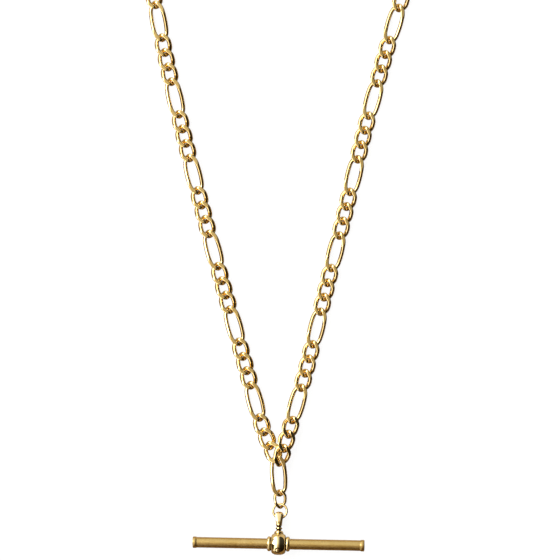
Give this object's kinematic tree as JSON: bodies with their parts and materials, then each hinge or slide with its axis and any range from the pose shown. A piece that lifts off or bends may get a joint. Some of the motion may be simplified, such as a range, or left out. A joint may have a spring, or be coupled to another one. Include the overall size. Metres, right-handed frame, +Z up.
{
  "type": "pocket watch chain",
  "caption": "Gilt watch chain of twisted curb and fetter links: its strands meet at a drop link with a swivelling T-bar and end in sprung clips.",
  "frame": {"origin": "on the table, at the middle of the footprint of the chain as it lies", "axes": "+Y from the T-bar up the strands, +X to the right along the T-bar, +Z up off the table"},
  "size_m": [0.08, 0.1642, 0.006],
  "materials": {
    "t_bar_rod": "polished gold",
    "t_bar_collar": "polished gold",
    "t_bar_swivel": "polished gold",
    "jump_ring": "polished gold",
    "small_curb_link": "polished gold",
    "drop_fetter_link": "polished gold",
    "left_curb_link_01": "polished gold",
    "left_curb_link_02": "polished gold",
    "left_curb_link_03": "polished gold",
    "left_fetter_link_1": "polished gold",
    "left_curb_link_04": "polished gold",
    "left_curb_link_05": "polished gold",
    "left_curb_link_06": "polished gold",
    "left_fetter_link_2": "polished gold",
    "left_curb_link_07": "polished gold",
    "left_curb_link_08": "polished gold",
    "left_curb_link_09": "polished gold",
    "left_fetter_link_3": "polished gold",
    "left_curb_link_10": "polished gold",
    "left_curb_link_11": "polished gold",
    "left_curb_link_12": "polished gold",
    "left_fetter_link_4": "polished gold",
    "left_curb_link_13": "polished gold",
    "left_curb_link_14": "polished gold",
    "left_curb_link_15": "polished gold",
    "left_fetter_link_5": "polished gold",
    "left_curb_link_16": "polished gold",
    "left_curb_link_17": "polished gold",
    "left_curb_link_18": "polished gold",
    "left_fetter_link_6": "polished gold",
    "left_clip_bow": "polished gold",
    "left_clip_body": "polished gold",
    "left_clip_gate": "polished gold",
    "right_curb_link_01": "polished gold",
    "right_curb_link_02": "polished gold",
    "right_curb_link_03": "polished gold",
    "right_fetter_link_1": "polished gold",
    "right_curb_link_04": "polished gold",
    "right_curb_link_05": "polished gold",
    "right_curb_link_06": "polished gold",
    "right_fetter_link_2": "polished gold",
    "right_curb_link_07": "polished gold",
    "right_curb_link_08": "polished gold",
    "right_curb_link_09": "polished gold",
    "right_fetter_link_3": "polished gold",
    "right_curb_link_10": "polished gold",
    "right_curb_link_11": "polished gold",
    "right_curb_link_12": "polished gold",
    "right_fetter_link_4": "polished gold",
    "right_curb_link_13": "polished gold",
    "right_curb_link_14": "polished gold",
    "right_curb_link_15": "polished gold",
    "right_fetter_link_5": "polished gold",
    "right_curb_link_16": "polished gold",
    "right_curb_link_17": "polished gold",
    "right_curb_link_18": "polished gold",
    "right_fetter_link_6": "polished gold",
    "right_clip_bow": "polished gold",
    "right_clip_body": "polished gold",
    "right_clip_gate": "polished gold"
  },
  "bodies": {
    "t_bar": {"t_bar_rod": "t_bar_rod", "t_bar_collar": "t_bar_collar"},
    "t_bar_swivel": {"t_bar_swivel": "t_bar_swivel"},
    "jump_ring": {"jump_ring": "jump_ring"},
    "small_curb_link": {"small_curb_link": "small_curb_link"},
    "drop_fetter_link": {"drop_fetter_link": "drop_fetter_link"},
    "left_curb_link_01": {"left_curb_link_01": "left_curb_link_01"},
    "left_curb_link_02": {"left_curb_link_02": "left_curb_link_02"},
    "left_curb_link_03": {"left_curb_link_03": "left_curb_link_03"},
    "left_fetter_link_1": {"left_fetter_link_1": "left_fetter_link_1"},
    "left_curb_link_04": {"left_curb_link_04": "left_curb_link_04"},
    "left_curb_link_05": {"left_curb_link_05": "left_curb_link_05"},
    "left_curb_link_06": {"left_curb_link_06": "left_curb_link_06"},
    "left_fetter_link_2": {"left_fetter_link_2": "left_fetter_link_2"},
    "left_curb_link_07": {"left_curb_link_07": "left_curb_link_07"},
    "left_curb_link_08": {"left_curb_link_08": "left_curb_link_08"},
    "left_curb_link_09": {"left_curb_link_09": "left_curb_link_09"},
    "left_fetter_link_3": {"left_fetter_link_3": "left_fetter_link_3"},
    "left_curb_link_10": {"left_curb_link_10": "left_curb_link_10"},
    "left_curb_link_11": {"left_curb_link_11": "left_curb_link_11"},
    "left_curb_link_12": {"left_curb_link_12": "left_curb_link_12"},
    "left_fetter_link_4": {"left_fetter_link_4": "left_fetter_link_4"},
    "left_curb_link_13": {"left_curb_link_13": "left_curb_link_13"},
    "left_curb_link_14": {"left_curb_link_14": "left_curb_link_14"},
    "left_curb_link_15": {"left_curb_link_15": "left_curb_link_15"},
    "left_fetter_link_5": {"left_fetter_link_5": "left_fetter_link_5"},
    "left_curb_link_16": {"left_curb_link_16": "left_curb_link_16"},
    "left_curb_link_17": {"left_curb_link_17": "left_curb_link_17"},
    "left_curb_link_18": {"left_curb_link_18": "left_curb_link_18"},
    "left_fetter_link_6": {"left_fetter_link_6": "left_fetter_link_6"},
    "left_clip_bow": {"left_clip_bow": "left_clip_bow"},
    "left_clip_body": {"left_clip_body": "left_clip_body"},
    "left_clip_gate": {"left_clip_gate": "left_clip_gate"},
    "right_curb_link_01": {"right_curb_link_01": "right_curb_link_01"},
    "right_curb_link_02": {"right_curb_link_02": "right_curb_link_02"},
    "right_curb_link_03": {"right_curb_link_03": "right_curb_link_03"},
    "right_fetter_link_1": {"right_fetter_link_1": "right_fetter_link_1"},
    "right_curb_link_04": {"right_curb_link_04": "right_curb_link_04"},
    "right_curb_link_05": {"right_curb_link_05": "right_curb_link_05"},
    "right_curb_link_06": {"right_curb_link_06": "right_curb_link_06"},
    "right_fetter_link_2": {"right_fetter_link_2": "right_fetter_link_2"},
    "right_curb_link_07": {"right_curb_link_07": "right_curb_link_07"},
    "right_curb_link_08": {"right_curb_link_08": "right_curb_link_08"},
    "right_curb_link_09": {"right_curb_link_09": "right_curb_link_09"},
    "right_fetter_link_3": {"right_fetter_link_3": "right_fetter_link_3"},
    "right_curb_link_10": {"right_curb_link_10": "right_curb_link_10"},
    "right_curb_link_11": {"right_curb_link_11": "right_curb_link_11"},
    "right_curb_link_12": {"right_curb_link_12": "right_curb_link_12"},
    "right_fetter_link_4": {"right_fetter_link_4": "right_fetter_link_4"},
    "right_curb_link_13": {"right_curb_link_13": "right_curb_link_13"},
    "right_curb_link_14": {"right_curb_link_14": "right_curb_link_14"},
    "right_curb_link_15": {"right_curb_link_15": "right_curb_link_15"},
    "right_fetter_link_5": {"right_fetter_link_5": "right_fetter_link_5"},
    "right_curb_link_16": {"right_curb_link_16": "right_curb_link_16"},
    "right_curb_link_17": {"right_curb_link_17": "right_curb_link_17"},
    "right_curb_link_18": {"right_curb_link_18": "right_curb_link_18"},
    "right_fetter_link_6": {"right_fetter_link_6": "right_fetter_link_6"},
    "right_clip_bow": {"right_clip_bow": "right_clip_bow"},
    "right_clip_body": {"right_clip_body": "right_clip_body"},
    "right_clip_gate": {"right_clip_gate": "right_clip_gate"}
  },
  "joints": [
    {"name": "t_bar_swivel_turn", "type": "hinge", "parent": "t_bar", "child": "t_bar_swivel", "pos_m": [-0.0004, -0.07919, 0.003], "axis": [0.029, 0.9752, -0.2194], "continuous": true},
    {"name": "jump_ring_hinge", "type": "hinge", "parent": "t_bar_swivel", "child": "jump_ring", "pos_m": [-0.00012, -0.07251, 0.00151], "axis": [0.9841, -0.0446, 0.172], "range_deg": [-40, 50]},
    {"name": "small_curb_link_hinge", "type": "hinge", "parent": "jump_ring", "child": "small_curb_link", "pos_m": [0.00011, -0.06976, 0.00106], "axis": [0.6092, 0.0391, -0.7921], "range_deg": [-25, 36]},
    {"name": "drop_fetter_link_hinge", "type": "hinge", "parent": "small_curb_link", "child": "drop_fetter_link", "pos_m": [-0.00004, -0.06539, 0.00116], "axis": [0.7923, 0.014, 0.61], "range_deg": [-36, 36]},
    {"name": "left_curb_link_01_hinge", "type": "hinge", "parent": "drop_fetter_link", "child": "left_curb_link_01", "pos_m": [-0.00103, -0.05646, 0.00148], "axis": [0.7089, -0.0014, 0.7053], "range_deg": [-36, 2]},
    {"name": "left_curb_link_02_hinge", "type": "hinge", "parent": "left_curb_link_01", "child": "left_curb_link_02", "pos_m": [-0.00244, -0.05414, 0.00107], "axis": [0.6587, 0.2574, -0.707], "range_deg": [-30, 20]},
    {"name": "left_curb_link_03_hinge", "type": "hinge", "parent": "left_curb_link_02", "child": "left_curb_link_03", "pos_m": [-0.00438, -0.04937, 0.001], "axis": [-0.6517, -0.2747, -0.707], "range_deg": [-36, 30]},
    {"name": "left_fetter_link_1_hinge", "type": "hinge", "parent": "left_curb_link_03", "child": "left_fetter_link_1", "pos_m": [-0.00524, -0.04681, 0.001], "axis": [-0.683, -0.1829, 0.7071], "range_deg": [-36, 36]},
    {"name": "left_curb_link_04_hinge", "type": "hinge", "parent": "left_fetter_link_1", "child": "left_curb_link_04", "pos_m": [-0.00784, -0.03711, 0.001], "axis": [0.683, 0.1831, 0.7071], "range_deg": [-36, 36]},
    {"name": "left_curb_link_05_hinge", "type": "hinge", "parent": "left_curb_link_04", "child": "left_curb_link_05", "pos_m": [-0.00854, -0.0345, 0.001], "axis": [0.6819, 0.1872, -0.7071], "range_deg": [-36, 36]},
    {"name": "left_curb_link_06_hinge", "type": "hinge", "parent": "left_curb_link_05", "child": "left_curb_link_06", "pos_m": [-0.00991, -0.02954, 0.001], "axis": [-0.6819, -0.1872, -0.7071], "range_deg": [-36, 36]},
    {"name": "left_fetter_link_2_hinge", "type": "hinge", "parent": "left_curb_link_06", "child": "left_fetter_link_2", "pos_m": [-0.01063, -0.02693, 0.001], "axis": [-0.6807, -0.1913, 0.7071], "range_deg": [-36, 36]},
    {"name": "left_curb_link_07_hinge", "type": "hinge", "parent": "left_fetter_link_2", "child": "left_curb_link_07", "pos_m": [-0.01334, -0.01727, 0.001], "axis": [0.6807, 0.1913, 0.7071], "range_deg": [-36, 36]},
    {"name": "left_curb_link_08_hinge", "type": "hinge", "parent": "left_curb_link_07", "child": "left_curb_link_08", "pos_m": [-0.01407, -0.01467, 0.001], "axis": [0.6816, 0.1884, -0.7071], "range_deg": [-36, 36]},
    {"name": "left_curb_link_09_hinge", "type": "hinge", "parent": "left_curb_link_08", "child": "left_curb_link_09", "pos_m": [-0.01544, -0.0097, 0.001], "axis": [-0.6816, -0.1884, -0.7071], "range_deg": [-36, 36]},
    {"name": "left_fetter_link_3_hinge", "type": "hinge", "parent": "left_curb_link_09", "child": "left_fetter_link_3", "pos_m": [-0.01616, -0.0071, 0.001], "axis": [-0.6824, -0.1854, 0.7071], "range_deg": [-36, 36]},
    {"name": "left_curb_link_10_hinge", "type": "hinge", "parent": "left_fetter_link_3", "child": "left_curb_link_10", "pos_m": [-0.01879, 0.00259, 0.001], "axis": [0.6824, 0.1854, 0.7071], "range_deg": [-36, 36]},
    {"name": "left_curb_link_11_hinge", "type": "hinge", "parent": "left_curb_link_10", "child": "left_curb_link_11", "pos_m": [-0.01948, 0.0052, 0.001], "axis": [0.684, 0.1794, -0.7071], "range_deg": [-36, 36]},
    {"name": "left_curb_link_12_hinge", "type": "hinge", "parent": "left_curb_link_11", "child": "left_curb_link_12", "pos_m": [-0.02079, 0.01018, 0.001], "axis": [-0.684, -0.1794, -0.7071], "range_deg": [-36, 36]},
    {"name": "left_fetter_link_4_hinge", "type": "hinge", "parent": "left_curb_link_12", "child": "left_fetter_link_4", "pos_m": [-0.02146, 0.01279, 0.001], "axis": [-0.6855, -0.1735, 0.7071], "range_deg": [-36, 36]},
    {"name": "left_curb_link_13_hinge", "type": "hinge", "parent": "left_fetter_link_4", "child": "left_curb_link_13", "pos_m": [-0.02393, 0.02253, 0.001], "axis": [0.6855, 0.1735, 0.7071], "range_deg": [-36, 36]},
    {"name": "left_curb_link_14_hinge", "type": "hinge", "parent": "left_curb_link_13", "child": "left_curb_link_14", "pos_m": [-0.02458, 0.02515, 0.001], "axis": [0.6871, 0.1669, -0.7071], "range_deg": [-36, 36]},
    {"name": "left_curb_link_15_hinge", "type": "hinge", "parent": "left_curb_link_14", "child": "left_curb_link_15", "pos_m": [-0.02579, 0.03015, 0.001], "axis": [-0.6871, -0.1669, -0.7071], "range_deg": [-36, 36]},
    {"name": "left_fetter_link_5_hinge", "type": "hinge", "parent": "left_curb_link_15", "child": "left_fetter_link_5", "pos_m": [-0.02642, 0.03278, 0.001], "axis": [-0.6887, -0.1603, 0.7071], "range_deg": [-36, 36]},
    {"name": "left_curb_link_16_hinge", "type": "hinge", "parent": "left_fetter_link_5", "child": "left_curb_link_16", "pos_m": [-0.02869, 0.04256, 0.001], "axis": [0.6887, 0.1603, 0.7071], "range_deg": [-36, 36]},
    {"name": "left_curb_link_17_hinge", "type": "hinge", "parent": "left_curb_link_16", "child": "left_curb_link_17", "pos_m": [-0.02928, 0.04519, 0.001], "axis": [0.6915, 0.1476, -0.7071], "range_deg": [-36, 36]},
    {"name": "left_curb_link_18_hinge", "type": "hinge", "parent": "left_curb_link_17", "child": "left_curb_link_18", "pos_m": [-0.03036, 0.05023, 0.001], "axis": [-0.6915, -0.1476, -0.7071], "range_deg": [-36, 36]},
    {"name": "left_fetter_link_6_hinge", "type": "hinge", "parent": "left_curb_link_18", "child": "left_fetter_link_6", "pos_m": [-0.0309, 0.05288, 0.001], "axis": [-0.6941, -0.1349, 0.7071], "range_deg": [-36, 36]},
    {"name": "left_clip_bow_hinge", "type": "hinge", "parent": "left_fetter_link_6", "child": "left_clip_bow", "pos_m": [-0.03281, 0.06273, 0.001], "axis": [0.6941, 0.1349, 0.7071], "range_deg": [-36, 36]},
    {"name": "clip_left_swivel_turn", "type": "hinge", "parent": "left_clip_bow", "child": "left_clip_body", "pos_m": [-0.03307, 0.06408, 0.001], "axis": [-0.1908, 0.9816, 0], "continuous": true},
    {"name": "clip_left_gate_press", "type": "hinge", "parent": "left_clip_body", "child": "left_clip_gate", "pos_m": [-0.03117, 0.07331, 0.001], "axis": [0, 0, 1], "range_deg": [0, 28], "stiffness_Nm_per_rad": 0.0004, "springref_deg": -10},
    {"name": "right_curb_link_01_hinge", "type": "hinge", "parent": "drop_fetter_link", "child": "right_curb_link_01", "pos_m": [-0.00011, -0.05732, 0.00227], "axis": [0.7089, -0.0014, 0.7053], "range_deg": [0, 36]},
    {"name": "right_curb_link_02_hinge", "type": "hinge", "parent": "right_curb_link_01", "child": "right_curb_link_02", "pos_m": [0.00088, -0.05481, 0.00276], "axis": [0.5325, -0.2469, -0.8096], "range_deg": [-12, 12]},
    {"name": "right_curb_link_03_hinge", "type": "hinge", "parent": "right_curb_link_02", "child": "right_curb_link_03", "pos_m": [0.00234, -0.0499, 0.00222], "axis": [-0.7979, 0.1727, -0.5775], "range_deg": [-15, 20]},
    {"name": "right_fetter_link_1_hinge", "type": "hinge", "parent": "right_curb_link_03", "child": "right_fetter_link_1", "pos_m": [0.00304, -0.04745, 0.00126], "axis": [-0.6758, 0.2087, 0.7069], "range_deg": [-18, 10]},
    {"name": "right_curb_link_04_hinge", "type": "hinge", "parent": "right_fetter_link_1", "child": "right_curb_link_04", "pos_m": [0.00576, -0.03779, 0.001], "axis": [0.6856, -0.1739, 0.7069], "range_deg": [-36, 36]},
    {"name": "right_curb_link_05_hinge", "type": "hinge", "parent": "right_curb_link_04", "child": "right_curb_link_05", "pos_m": [0.00647, -0.03518, 0.001], "axis": [0.684, -0.1792, -0.7071], "range_deg": [-36, 36]},
    {"name": "right_curb_link_06_hinge", "type": "hinge", "parent": "right_curb_link_05", "child": "right_curb_link_06", "pos_m": [0.00777, -0.0302, 0.001], "axis": [-0.6842, 0.1785, -0.7071], "range_deg": [-36, 36]},
    {"name": "right_fetter_link_2_hinge", "type": "hinge", "parent": "right_curb_link_06", "child": "right_fetter_link_2", "pos_m": [0.00843, -0.02758, 0.001], "axis": [-0.6873, 0.1663, 0.7071], "range_deg": [-36, 36]},
    {"name": "right_curb_link_07_hinge", "type": "hinge", "parent": "right_fetter_link_2", "child": "right_curb_link_07", "pos_m": [0.01079, -0.01782, 0.001], "axis": [0.6873, -0.1663, 0.7071], "range_deg": [-36, 36]},
    {"name": "right_curb_link_08_hinge", "type": "hinge", "parent": "right_curb_link_07", "child": "right_curb_link_08", "pos_m": [0.01143, -0.0152, 0.001], "axis": [0.6867, -0.1687, -0.7071], "range_deg": [-36, 36]},
    {"name": "right_curb_link_09_hinge", "type": "hinge", "parent": "right_curb_link_08", "child": "right_curb_link_09", "pos_m": [0.01266, -0.0102, 0.001], "axis": [-0.6867, 0.1687, -0.7071], "range_deg": [-36, 36]},
    {"name": "right_fetter_link_3_hinge", "type": "hinge", "parent": "right_curb_link_09", "child": "right_fetter_link_3", "pos_m": [0.0133, -0.00757, 0.001], "axis": [-0.6861, 0.1711, 0.7071], "range_deg": [-36, 36]},
    {"name": "right_curb_link_10_hinge", "type": "hinge", "parent": "right_fetter_link_3", "child": "right_curb_link_10", "pos_m": [0.01573, 0.00217, 0.001], "axis": [0.6861, -0.1711, 0.7071], "range_deg": [-36, 36]},
    {"name": "right_curb_link_11_hinge", "type": "hinge", "parent": "right_curb_link_10", "child": "right_curb_link_11", "pos_m": [0.01638, 0.00479, 0.001], "axis": [0.6873, -0.1663, -0.7071], "range_deg": [-36, 36]},
    {"name": "right_curb_link_12_hinge", "type": "hinge", "parent": "right_curb_link_11", "child": "right_curb_link_12", "pos_m": [0.01759, 0.0098, 0.001], "axis": [-0.6873, 0.1663, -0.7071], "range_deg": [-36, 36]},
    {"name": "right_fetter_link_4_hinge", "type": "hinge", "parent": "right_curb_link_12", "child": "right_fetter_link_4", "pos_m": [0.01821, 0.01242, 0.001], "axis": [-0.6884, 0.1615, 0.7071], "range_deg": [-36, 36]},
    {"name": "right_curb_link_13_hinge", "type": "hinge", "parent": "right_fetter_link_4", "child": "right_curb_link_13", "pos_m": [0.02051, 0.0222, 0.001], "axis": [0.6884, -0.1615, 0.7071], "range_deg": [-36, 36]},
    {"name": "right_curb_link_14_hinge", "type": "hinge", "parent": "right_curb_link_13", "child": "right_curb_link_14", "pos_m": [0.02114, 0.02482, 0.001], "axis": [0.6858, -0.1723, -0.7071], "range_deg": [-36, 36]},
    {"name": "right_curb_link_15_hinge", "type": "hinge", "parent": "right_curb_link_14", "child": "right_curb_link_15", "pos_m": [0.0224, 0.02982, 0.001], "axis": [-0.6858, 0.1723, -0.7071], "range_deg": [-36, 36]},
    {"name": "right_fetter_link_5_hinge", "type": "hinge", "parent": "right_curb_link_15", "child": "right_fetter_link_5", "pos_m": [0.02308, 0.03243, 0.001], "axis": [-0.683, 0.183, 0.7071], "range_deg": [-36, 36]},
    {"name": "right_curb_link_16_hinge", "type": "hinge", "parent": "right_fetter_link_5", "child": "right_curb_link_16", "pos_m": [0.02568, 0.04213, 0.001], "axis": [0.683, -0.183, 0.7071], "range_deg": [-36, 36]},
    {"name": "right_curb_link_17_hinge", "type": "hinge", "parent": "right_curb_link_16", "child": "right_curb_link_17", "pos_m": [0.02639, 0.04473, 0.001], "axis": [0.6809, -0.1907, -0.7071], "range_deg": [-36, 36]},
    {"name": "right_curb_link_18_hinge", "type": "hinge", "parent": "right_curb_link_17", "child": "right_curb_link_18", "pos_m": [0.02778, 0.04969, 0.001], "axis": [-0.6809, 0.1907, -0.7071], "range_deg": [-36, 36]},
    {"name": "right_fetter_link_6_hinge", "type": "hinge", "parent": "right_curb_link_18", "child": "right_fetter_link_6", "pos_m": [0.02852, 0.05229, 0.001], "axis": [-0.6787, 0.1985, 0.7071], "range_deg": [-36, 36]},
    {"name": "right_clip_bow_hinge", "type": "hinge", "parent": "right_fetter_link_6", "child": "right_clip_bow", "pos_m": [0.03134, 0.06192, 0.001], "axis": [0.6787, -0.1985, 0.7071], "range_deg": [-36, 36]},
    {"name": "clip_right_swivel_turn", "type": "hinge", "parent": "right_clip_bow", "child": "right_clip_body", "pos_m": [0.03173, 0.06324, 0.001], "axis": [0.2807, 0.9598, 0], "continuous": true},
    {"name": "clip_right_gate_press", "type": "hinge", "parent": "right_clip_body", "child": "right_clip_gate", "pos_m": [0.03765, 0.07057, 0.001], "axis": [0, 0, 1], "range_deg": [0, 28], "stiffness_Nm_per_rad": 0.0004, "springref_deg": -10}
  ]
}
